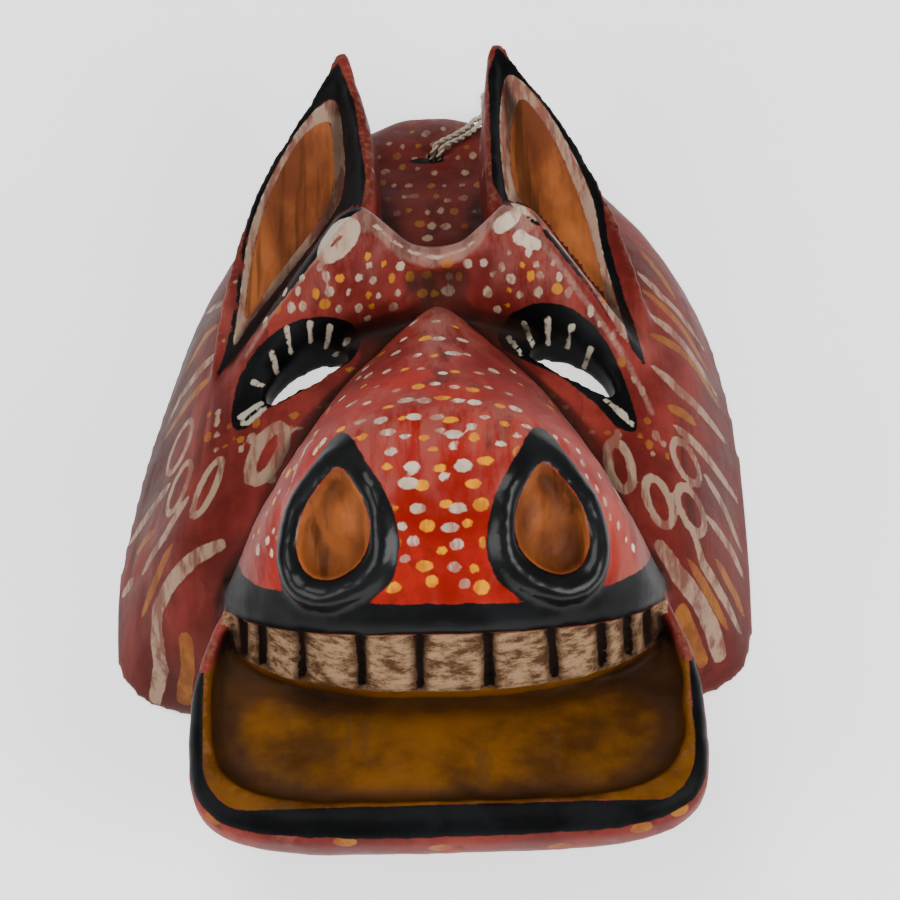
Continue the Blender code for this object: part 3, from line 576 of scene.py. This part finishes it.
# Cheeks. Long cream and ochre stripes that fan out from the ears, rings, and a thick wavy stroke to each
# corner. A ring's row gives its paint, middle, half its width and height, its lean and its stroke's width
LEFT_STRIPES = (
    ("ochre", (238, 257), (202, 311), (184, 345)),
    ("cream", (235, 282), (207, 313), (190, 342), (176, 369)),
    ("ochre", (228, 300), (204, 338), (186, 372)),
    ("cream", (225, 339), (197, 374), (180, 398), (168, 424)),
    ("ochre", (212, 372), (186, 405), (164, 440)), ("cream", (188, 497), (165, 536), (142, 575)),
    ("cream", (170, 484), (150, 512), (129, 545)), ("ochre", (155, 530), (136, 554), (118, 580)),
    ("ochre", (172, 545), (156, 580), (142, 616)), ("cream", (133, 580), (122, 596), (112, 614)),
)
RIGHT_STRIPES = (
    ("ochre", (640, 250), (658, 272), (676, 300)),
    ("cream", (637, 272), (662, 297), (684, 320), (704, 350)),
    ("ochre", (642, 290), (666, 310), (690, 340), (708, 372)),
    ("cream", (648, 310), (672, 332), (696, 362), (718, 398)),
    ("ochre", (650, 334), (674, 346), (698, 370), (720, 408)),
    ("cream", (652, 366), (678, 390), (704, 414), (728, 446)),
    ("ochre", (668, 407), (682, 413), (696, 424)), ("cream", (674, 426), (706, 456), (738, 502)),
    ("cream", (704, 474), (726, 512), (742, 552)),
    ("cream", (671, 493), (703, 564), (728, 606), (742, 636)),
    ("cream", (706, 516), (730, 548), (744, 578)), ("ochre", (688, 560), (710, 596), (728, 630)),
    ("ochre", (716, 560), (734, 592), (744, 616)),
)
CHEEK_STROKES = (
    ("cream", 6.4, 7.0, 0.3, (
        (220, 545), (194, 558), (170, 584), (157, 610), (157, 640), (161, 668), (155, 700)
    )),
    ("cream", 6.5, 8.0, 0.3, ((660, 546), (678, 574), (698, 600), (712, 628), (720, 656))),
    ("ochre", 6.0, 6.0, 0, ((186, 640), (188, 668), (184, 700))),
    ("ochre", 6.0, 5.0, 0, ((682, 612), (692, 636), (702, 662))),
    ("cream", 1.4, 1.0, 0, ((320, 428), (302, 456), (291, 484), (281, 514))),
)
CHEEK_RINGS = (
    ("cream", (267, 454), 12, 30, 28, 4.6), ("cream", (207, 488), 7, 31, 25, 2.9),
    ("cream", (179, 488), 6, 28, 22, 2.6), ("cream", (180, 447), 6, 29, 23, 2.6),
    ("cream", (620, 466), 11, 25, -16, 3.4), ("cream", (659, 502), 11, 26, -22, 3.2),
    ("cream", (691, 510), 10, 25, -24, 3.4), ("cream", (686, 462), 9, 24, -28, 3.0),
)
LEFT_CHEEK_DOTS = ((206, 408), (236, 400), (262, 430), (246, 446), (222, 462), (200, 440))
RIGHT_CHEEK_DOTS = ((636, 430), (652, 424), (672, 446), (668, 464), (644, 456))
for paint, *line in LEFT_STRIPES + RIGHT_STRIPES:
    stroke(paint, line, 4.8 if paint == "cream" else 4.2, 3.8, taper=0.7)
for paint, start_width, end_width, taper, line in CHEEK_STROKES:
    stroke(paint, line, start_width, end_width, taper)
for paint, middle, half_across, half_up, lean, width in CHEEK_RINGS:
    ring(paint, middle, half_across, half_up, lean, width)
scatter(LEFT_CHEEK_DOTS, 14, 1.5, ("ochre", "cream"))
scatter(RIGHT_CHEEK_DOTS, 12, 1.5, ("cream", "cream", "ochre"))

# On the ears and below the nose, what the black is painted over is taken out
EAR_FROM = 62
LIP_LINE = 560
for over, under in (("black", "cream"), ("black", "ochre")):
    covered = ((carved[:, 1] > EAR_FROM) | (seen_down > LIP_LINE)) & (paints[over] < 0)
    paints[under] = np.where(covered, np.maximum(paints[under], -paints[over]), paints[under])

# Each vertex keeps its distance to every mark, and how hollow and how near the top it is
MUZZLE_HEIGHT = 143
kept = {name: np.clip(distance, -8, 8) for name, distance in paints.items()}
kept["hollowness"] = hollowness
kept["valley"] = np.clip(valley, -4, 4)
kept["nearness"] = np.clip(carved[:, 2] / MUZZLE_HEIGHT, 0, 1)
for name, values in kept.items():
    layer = carving.attributes.new(name, "FLOAT", "POINT")
    layer.data.foreach_set("value", values.astype(np.float32))


# Paint. House paint in thin coats over pale wood, rubbed through on ridges, and darkened in every crease with
# painted shade and old wax. Each mark's stored distance says where its coat lies
class Tone:
    """A shader value that can be added, taken away and multiplied as a number can."""

    def __init__(self, tree, socket):
        self.tree, self.socket = tree, socket

    def node(self, kind, settings=(), values=(), output=0):
        """A node of that type with its settings and its inputs' values, which may be tones."""
        made = self.tree.nodes.new(kind)
        for name, value in dict(settings).items():
            setattr(made, name, value)
        for name, value in dict(values).items():
            if isinstance(value, Tone):
                self.tree.links.new(value.socket, made.inputs[name])
            else:
                made.inputs[name].default_value = value
        return Tone(self.tree, made.outputs[output])

    def maths(self, operation, a, b=0.0):
        """A Math node on two values."""
        return self.node("ShaderNodeMath", {"operation": operation}, {0: a, 1: b})

    def __add__(self, other):
        return self.maths("ADD", self, other)

    __radd__ = __add__

    def __mul__(self, other):
        return self.maths("MULTIPLY", self, other)

    __rmul__ = __mul__

    def __sub__(self, other):
        return self.maths("SUBTRACT", self, other)

    def __rsub__(self, other):
        return self.maths("SUBTRACT", other, self)

    def step(self, low, high):
        """Nought below low, one above high, a smooth rise between, and the reverse if low is higher."""
        settings = {"interpolation_type": "SMOOTHSTEP"}
        return self.node("ShaderNodeMapRange", settings, {0: self, 1: low, 2: high})

    def mix(self, first, second):
        """The first colour where this is nought and the second where it is one."""
        return self.node("ShaderNodeMix", {"data_type": "RGBA"}, {0: self, 6: first, 7: second}, output=2)


def new_material(name):
    """A material, its Principled shader and a tone to start from, with its place in object coordinates."""
    made = bpy.data.materials.new(name)
    made.use_nodes = True
    shader = made.node_tree.nodes["Principled BSDF"]
    start = Tone(made.node_tree, made.node_tree.nodes.new("ShaderNodeTexCoord").outputs["Object"])
    return made, shader, start


# A paint or stain that has two colours shades from the first to the second
# The two reds are one paint: lit near the top of the muzzle, and in painted shade lower down
SHADED_RED = ((0.10, 0.010, 0.008, 1), (0.23, 0.028, 0.021, 1))
LIT_RED = ((0.20, 0.006, 0.004, 1), (0.36, 0.014, 0.007, 1))
CREAM = ((0.40, 0.30, 0.22, 1), (0.68, 0.58, 0.45, 1))
OCHRE = ((0.24, 0.085, 0.016, 1), (0.70, 0.26, 0.001, 1))
RUBBED_PINK = ((0.13, 0.05, 0.038, 1), (0.34, 0.18, 0.145, 1))
BLACK = ((0.0025, 0.0027, 0.003, 1), (0.008, 0.0086, 0.0095, 1))
STAINED_WOOD = ((0.12, 0.031, 0.010, 1), (0.38, 0.112, 0.028, 1))
MUSTARD = ((0.040, 0.013, 0.001, 1), (0.135, 0.047, 0.003, 1))
TOOTH_WOOD = ((0.07, 0.033, 0.016, 1), (0.33, 0.20, 0.11, 1))
BARE_WOOD = ((0.05, 0.026, 0.013, 1), (0.14, 0.076, 0.038, 1))
WORN_THIN = (0.26, 0.085, 0.058, 1)
SMOKE = (0.022, 0.007, 0.005, 1)
DIRT_AND_SHADE = (0.030, 0.010, 0.008, 1)
LOW_DARKENING = (0.045, 0.012, 0.009, 1)
RIDGE_PINK = (0.33, 0.12, 0.095, 1)
CHALK_AND_SHEEN_RED = (0.38, 0.082, 0.066, 1)
SHADED_CREAM = (0.30, 0.19, 0.13, 1)
LASH_CREAM = (0.36, 0.33, 0.26, 1)
DARK_FIGURE = (0.06, 0.02, 0.005, 1)
GROWTH_LINE = (0.045, 0.014, 0.003, 1)
MUSTARD_STREAK = (0.06, 0.026, 0.006, 1)
TOOTH_JOINT_SHADE = (0.045, 0.020, 0.010, 1)
JOINT_BLACK_AND_HOLE_SHADE = (0.006, 0.004, 0.003, 1)
BROAD_SHADE_AND_WAX = (0.014, 0.006, 0.004, 1)
CREASE_SHADE_AND_WAX = (0.010, 0.006, 0.004, 1)
BARED_WOOD = (0.26, 0.13, 0.08, 1)
painted, shader, place = new_material("painted_wood")
tree = painted.node_tree


def grain(scale, detail=4.0, rough=0.6, squash=(1, 1, 1)):
    """Cloudy noise from nought to one, that many waves to a metre, drawn out where squash is small."""
    stretched = place.node("ShaderNodeMapping", {}, {"Vector": place, "Scale": squash})
    values = {"Vector": stretched, "Scale": scale, "Detail": detail, "Roughness": rough}
    return place.node("ShaderNodeTexNoise", {}, values)


def stored(name):
    """A value that the carving's vertices hold."""
    return place.node("ShaderNodeAttribute", {"attribute_name": name}, output=2)


mottle = grain(38, 5)
fine = grain(420, 3, 0.7)
wobble = grain(260, 2) - 0.5
streaks = grain(60, 4, 0.65, (1, 0.16, 1))
brushed = grain(150, 4, 0.7, (1, 0.2, 0.6))
crease = stored("hollowness")
nearness = stored("nearness")

# Red over the whole face, brighter on the muzzle as painted light, and duller lower down as painted shade.
# It is rubbed in streaks, blotched with dirt, darker towards the table, and darker on the left as painted
# shade
shaded_red = mottle.step(0.35, 0.7).mix(*SHADED_RED)
lit_red = mottle.step(0.35, 0.7).mix(*LIT_RED)
colour = nearness.step(0.66, 0.9).mix(shaded_red, lit_red)
rubbed = streaks.step(0.58, 0.74) * 0.42
colour = rubbed.mix(colour, WORN_THIN)
smoke = streaks.step(0.5, 0.36) * mottle.step(0.45, 0.62) * 0.75
colour = smoke.mix(colour, SMOKE)
clouds = grain(13, 4, 0.55)
across_face = place.node("ShaderNodeSeparateXYZ", {}, {"Vector": place})
from_middle = across_face.maths("ABSOLUTE", across_face)
on_cheeks = from_middle.step(0.05, 0.075)
to_right = across_face.step(0.02, 0.07)
# Cloudy dirt, heavier lower down and on the cheeks. Its extra darkness on the left is painted shade
dirt_and_shade = clouds.step(0.46, 0.6) * nearness.step(0.85, 0.35) * (on_cheeks * 0.4 + 0.3)
dirt_and_shade = dirt_and_shade * (1.0 - to_right * 0.6)
colour = dirt_and_shade.mix(colour, DIRT_AND_SHADE)
# Darker towards the table and at the sides, and more so on the left, where it is painted shade
low_darkening = (clouds.step(0.3, 0.52) * 0.45 + 0.42) * nearness.step(0.55, 0.12)
low_darkening = low_darkening * (from_middle.step(0.045, 0.07) * 0.7 + 0.3)
low_darkening = low_darkening * (1.0 - to_right * 0.75)
colour = low_darkening.mix(colour, LOW_DARKENING)
ridge = stored("valley").step(-0.35, -1.3) * brushed.step(0.35, 0.6) * nearness.step(0.45, 0.7) * 0.45
colour = ridge.mix(colour, RIDGE_PINK)
# Pale rosy patches on the cheeks: chalky rubbed paint, and painted sheen
chalk_and_sheen = clouds.step(0.48, 0.34) * streaks.step(0.45, 0.6) * nearness.step(0.15, 0.4) * on_cheeks * 0.5
colour = chalk_and_sheen.mix(colour, CHALK_AND_SHEEN_RED)


def cover(name, below, paint, wear=0.0, soft=0.28):
    """A paint over the colour below wherever its stored distance is under nought, worn by the grain."""
    edge = (stored(name) + wobble * 1.3).step(soft, -soft)
    if wear:
        edge = edge * (1.0 - brushed.step(0.44, 0.6) * wear)
    return edge.mix(below, paint)


# Marks, each worn by the brushed grain, then the stained, bare and toothed wood
cream = mottle.step(0.35, 0.65).mix(*CREAM)
# Cream lower down is a darker copy of itself, as painted shade
cream = nearness.step(0.75, 0.4).mix(cream, SHADED_CREAM)
# Ochre is bright yellow near the top and darker lower down: painted light and shade
ochre = nearness.step(0.4, 0.8).mix(*OCHRE)
pink = brushed.step(0.35, 0.65).mix(*RUBBED_PINK)
colour = cover("rubbed", colour, pink, 0.35, soft=0.9)
colour = cover("ochre", colour, ochre, 0.5)
colour = cover("cream", colour, cream, 0.72)
black = mottle.step(0.4, 0.75).mix(*BLACK)
black_at = (stored("black") + wobble * 1.3).step(0.28, -0.28)
over_black = (stored("cream") + wobble * 0.8).step(0.25, -0.25)
colour = (black_at * (1.0 - over_black)).mix(colour, black)
colour = (black_at * over_black * (1.0 - brushed.step(0.5, 0.7) * 0.5)).mix(colour, LASH_CREAM)
orange_grain = grain(34, 5, 0.6, (1, 0.35, 1))
orange = orange_grain.step(0.35, 0.62).mix(*STAINED_WOOD)
orange = orange_grain.step(0.6, 0.72).mix(orange, DARK_FIGURE)
growth = grain(120, 3, 0.6, (1, 0.07, 0.3))
orange = (growth.step(0.53, 0.62) * 0.7).mix(orange, GROWTH_LINE)
colour = cover("orange", colour, orange)
mustard_grain = grain(30, 5, 0.62, (0.7, 1, 1))
mustard = mustard_grain.step(0.32, 0.6).mix(*MUSTARD)
mustard = (streaks.step(0.56, 0.64) * 0.5).mix(mustard, MUSTARD_STREAK)
colour = cover("mustard", colour, mustard)
tooth_grain = grain(260, 5, 0.75, (0.45, 1, 1))
tooth = tooth_grain.step(0.38, 0.62).mix(*TOOTH_WOOD)
# Each tooth darkens towards its joints: painted shade on the walls of the V cuts
tooth = (stored("joint").step(2.6, 0.2) * 0.75).mix(tooth, TOOTH_JOINT_SHADE)
colour = cover("bone", colour, tooth)
# Black in the teeth's joints, and the painted shade of the string's hole
colour = cover("joint", colour, JOINT_BLACK_AND_HOLE_SHADE)
bare = streaks.step(0.3, 0.7).mix(*BARE_WOOD)
colour = cover("bare", colour, bare, soft=0.6)
# Painted shade and old wax darken every hollow, less so over the stains, and the sharpest ridges are bared
stained = 1.0 - stored("orange").step(0.5, -0.5) * 0.7 - stored("mustard").step(0.5, -0.5) * 0.6
broad_shade_and_wax = stored("valley").step(0.25, 1.3) * (mottle * 0.5 + 0.55) * (1.0 - stored("bare").step(0.5, -0.5))
broad_shade_and_wax = broad_shade_and_wax * (1.0 - stored("orange").step(0.5, -0.5) * 0.55)
colour = (broad_shade_and_wax * 0.85).mix(colour, BROAD_SHADE_AND_WAX)
crease_shade_and_wax = crease.step(0.05, 0.2) * stained
colour = (crease_shade_and_wax * 0.85).mix(colour, CREASE_SHADE_AND_WAX)
bared = crease.step(-0.1, -0.3) * fine.step(0.45, 0.6) * (1.0 - black_at) * 0.3
colour = bared.mix(colour, BARED_WOOD)
tree.links.new(colour.socket, shader.inputs["Base Color"])
dull = mottle.step(0.3, 0.75) * 0.14 + fine * 0.12 + 0.34
dull = dull + stored("bone").step(0.3, -0.3) * 0.3 + stored("bare").step(0.5, -0.5) * 0.35
tree.links.new(dull.socket, shader.inputs["Roughness"])
relief = fine * 0.25 + brushed * 0.5 + streaks * 0.5
bump = place.node("ShaderNodeBump", {}, {"Strength": 0.35, "Distance": 0.0006, "Height": relief})
tree.links.new(bump.socket, shader.inputs["Normal"])
shader.inputs["Specular IOR Level"].default_value = 0.05
varnish = black_at * nearness.step(0.7, 0.88) * 0.3
tree.links.new(varnish.socket, shader.inputs["Coat Weight"])
shader.inputs["Coat Roughness"].default_value = 0.22

carving.materials.clear()
carving.materials.append(painted)
carving.polygons.foreach_set("use_smooth", [True] * len(carving.polygons))
carving.vertices.foreach_set("co", (spots / 1000).ravel())
carving.update()
mask = bpy.data.objects.new("painted_carving", carving)
bpy.context.scene.collection.objects.link(mask)
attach(mask, "root")
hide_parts("carved_mask")

# Hanging string. Two-ply cotton through one hole in the crown, doubled, over the crown's edge behind the
# right ear to a loop that lies on the table. Each ply is a thin tube wound round the string's own line
STRING_DIAMETER = 0.0022
CORD_SKIN_GAP = 0.0004
RISE = (
    (0.2, 126.2, 11.7), (0.2, 126.2, 16.0), (0.2, 126.2, 21.5), (0.6, 126.6, 26.4), (2.2, 128.4, 28.8),
    (4.4, 130.8, 27.4),
)
ROUTE = (
    (6.8, 133.2, 23.8), (9.8, 136.2, 21.6), (12.9, 139.9, 18.9), (15.2, 143.6, 16.3), (16.7, 147.2, 13.2),
    (17.9, 150.4, 8.8), (18.9, 153.0, 5.2), (19.8, 155.6, 2.2), (20.6, 158.4, 0.3), (21.4, 161.6, -0.25),
    (22.2, 165.0, -0.25),
)
ACROSS = np.array([0.86, -0.51, 0])
AHEAD = np.array([0.51, 0.86, 0])
END_SPREAD = 3.2
FINE_STEPS = 900
STRING_STEPS = 700


def string_line(count):
    """The string's middle and its length in metres: out along one side of the route, round its end and back
    along the other, as cubics that overshoot none of their points, cut into even steps."""
    side = 0.5 * STRING_DIAMETER * 1000 + 0.6 * CORD_SKIN_GAP * 1000
    middle = np.concatenate([RISE, np.array(ROUTE) + (0, 0, 500 * STRING_DIAMETER + 1000 * CORD_SKIN_GAP)])
    spread = np.full((len(middle), 1), side)
    spread[-2:, 0] = (0.5 * (side + END_SPREAD), END_SPREAD)
    turn = np.linspace(0, math.pi, 9)[1:-1, None]
    end = middle[-1] + END_SPREAD * (ACROSS * np.cos(turn) + AHEAD * np.sin(turn))
    points = np.concatenate([middle + ACROSS * spread, end, (middle - ACROSS * spread)[::-1]])
    steps = np.diff(points, axis=0)
    before, after = steps[:-1], steps[1:]
    total = np.where(before * after > 0, before + after, 1)
    between = np.where(before * after > 0, 2 * before * after / total, 0)
    slopes = np.concatenate([steps[:1], between, steps[-1:]])
    at = np.linspace(0, len(points) - 1, FINE_STEPS)
    first = np.minimum(at.astype(int), len(points) - 2)
    share = (at - first)[:, None]
    a = 2 * share**3 - 3 * share**2 + 1
    fine_line = a * points[first] + (share**3 - 2 * share**2 + share) * slopes[first]
    fine_line += (1 - a) * points[first + 1] + (share**3 - share**2) * slopes[first + 1]
    run = np.concatenate([[0], np.cumsum(np.linalg.norm(np.diff(fine_line, axis=0), axis=1))])
    at = np.linspace(0, run[-1], count)
    even_line = np.stack([np.interp(at, run, fine_line[:, k]) for k in range(3)], axis=1)
    return (even_line + PLACE) / 1000, run[-1] / 1000


line, string_length = string_line(STRING_STEPS)
ahead = np.gradient(line, axis=0)
ahead /= np.linalg.norm(ahead, axis=1)[:, None]
beside_line = np.empty_like(line)
beside_line[0] = ACROSS
for i in range(1, len(line)):
    lean = beside_line[i - 1] - ahead[i] * (beside_line[i - 1] @ ahead[i])
    beside_line[i] = lean / np.linalg.norm(lean)
above_line = np.cross(ahead, beside_line)
LAY_LENGTH = 0.0085
PLY_RADIUS = 0.27 * STRING_DIAMETER
PLY_FROM_MIDDLE = 0.23 * STRING_DIAMETER
FIBRES_ROUND = 8
string_points, string_faces = [], []
for ply in range(2):
    wind = np.linspace(0, 2 * math.pi * string_length / LAY_LENGTH, len(line)) + math.pi * ply
    round_line = np.cos(wind)[:, None] * beside_line + np.sin(wind)[:, None] * above_line
    centre = line + PLY_FROM_MIDDLE * round_line
    round_ply = np.linspace(0, 2 * math.pi, FIBRES_ROUND, endpoint=False)
    fuzz = PLY_RADIUS * (1 + 0.06 * np.random.default_rng(ply).normal(size=(len(line), FIBRES_ROUND)))
    sideways = np.cos(round_ply)[None, :, None] * beside_line[:, None]
    upwards = np.sin(round_ply)[None, :, None] * above_line[:, None]
    tube = centre[:, None] + fuzz[:, :, None] * (sideways + upwards)
    base = len(line) * FIBRES_ROUND * ply
    string_points.append(tube.reshape(-1, 3))
    i = np.arange(len(line) - 1)[:, None] * FIBRES_ROUND + base
    j = np.arange(FIBRES_ROUND)[None]
    k = (j + 1) % FIBRES_ROUND
    four_corners = np.stack([i + j, i + k, i + FIBRES_ROUND + k, i + FIBRES_ROUND + j], axis=-1)
    string_faces += four_corners.reshape(-1, 4).tolist()
    last = base + (len(line) - 1) * FIBRES_ROUND
    string_faces += [list(range(base, base + FIBRES_ROUND))[::-1], list(range(last, last + FIBRES_ROUND))]
string_mesh = bpy.data.meshes.new("hanging_string")
string_mesh.from_pydata(np.concatenate(string_points).tolist(), [], string_faces)
string_mesh.polygons.foreach_set("use_smooth", [True] * len(string_mesh.polygons))
cotton, shader, place = new_material("cotton_string")
tree = cotton.node_tree
fibre = grain(900, 3, 0.7)
COTTON = ((0.34, 0.28, 0.20, 1), (0.60, 0.53, 0.42, 1))
tree.links.new(fibre.step(0.35, 0.65).mix(*COTTON).socket, shader.inputs["Base Color"])
shader.inputs["Roughness"].default_value = 0.9
string_mesh.materials.append(cotton)
string = bpy.data.objects.new("hanging_string", string_mesh)
bpy.context.scene.collection.objects.link(string)
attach(string, "root")
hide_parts("hanging_cord")

# Knot. The string's two ends tied together inside the crown, a small lump wound with the same cotton. It
# holds the string in its hole: a ball whose radius swells and dips with the turns that wind over it
KNOT_MIDDLE = (np.array([0.2, 125.8, 7.0]) + PLACE) / 1000
KNOT_RADIUS = 0.0044
rows, columns = 40, 64
down_knot = np.linspace(0.02, math.pi - 0.02, rows)
round_knot = np.linspace(0, 2 * math.pi, columns, endpoint=False)
polar, turn = np.meshgrid(down_knot, round_knot, indexing="ij")
wraps = 0.9 + 0.1 * np.abs(np.sin(2.5 * turn + 5 * polar))
knot_grid = KNOT_MIDDLE + KNOT_RADIUS * wraps[..., None] * np.stack(
    [np.sin(polar) * np.cos(turn), np.sin(polar) * np.sin(turn), np.cos(polar)], axis=-1
)
i = np.arange(rows - 1)[:, None] * columns
j = np.arange(columns)[None]
k = (j + 1) % columns
knot_faces = np.stack([i + j, i + columns + j, i + columns + k, i + k], axis=-1).reshape(-1, 4).tolist()
knot_faces += [list(range(columns)), list(range((rows - 1) * columns, rows * columns))[::-1]]
knot_mesh = bpy.data.meshes.new("string_knot")
knot_mesh.from_pydata(knot_grid.reshape(-1, 3).tolist(), [], knot_faces)
knot_mesh.polygons.foreach_set("use_smooth", [True] * len(knot_mesh.polygons))
knot_mesh.materials.append(cotton)
knot = bpy.data.objects.new("string_knot", knot_mesh)
bpy.context.scene.collection.objects.link(knot)
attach(knot, "root")
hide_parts("cord_knot")

# Studio. White table, lit in itself, under soft light from above and from two cards before the mask, as even
# as the photo's light. A faint lamp in the hollow lights the table that shows through the eye holes
table = bpy.data.meshes.new("table")
table.from_pydata([(-3, -3, 0), (3, -3, 0), (3, 3, 0), (-3, 3, 0)], [], [(0, 1, 2, 3)])
white, shader, _ = new_material("white_table")
shader.inputs["Base Color"].default_value = (0.9, 0.9, 0.9, 1)
shader.inputs["Roughness"].default_value = 0.9
shader.inputs["Emission Color"].default_value = (1, 1, 1, 1)
shader.inputs["Emission Strength"].default_value = 0.95
table.materials.append(white)
floor = bpy.data.objects.new("table", table)
bpy.context.scene.collection.objects.link(floor)
for name, towards, distance, size, power in (
    ("window", (-0.25, 0.2, 1.0), 1.5, 0.8, 14),
    ("left_card", (-1.0, -0.6, 0.9), 1.4, 0.7, 10),
    ("right_card", (1.0, -0.7, 0.9), 1.4, 0.7, 17),
):
    light = bpy.data.lights.new(name, "AREA")
    light.energy = power
    light.size = size
    lamp = bpy.data.objects.new(name, light)
    way = Vector(towards).normalized()
    lamp.location = Vector((0, 0, 0.05)) + way * distance
    lamp.rotation_euler = way.to_track_quat("Z", "Y").to_euler()
    bpy.context.scene.collection.objects.link(lamp)
inside = bpy.data.lights.new("under_the_eyes", "AREA")
inside.shape = "RECTANGLE"
inside.size, inside.size_y = 0.12, 0.03
inside.energy = 0.02
inside_lamp = bpy.data.objects.new("under_the_eyes", inside)
inside_lamp.location = (0.004, 0.05, 0.036)
bpy.context.scene.collection.objects.link(inside_lamp)
world = bpy.data.worlds.new("studio")
world.use_nodes = True
world.node_tree.nodes["Background"].inputs["Color"].default_value = (1, 1, 1, 1)
world.node_tree.nodes["Background"].inputs["Strength"].default_value = 0.3
bpy.context.scene.world = world
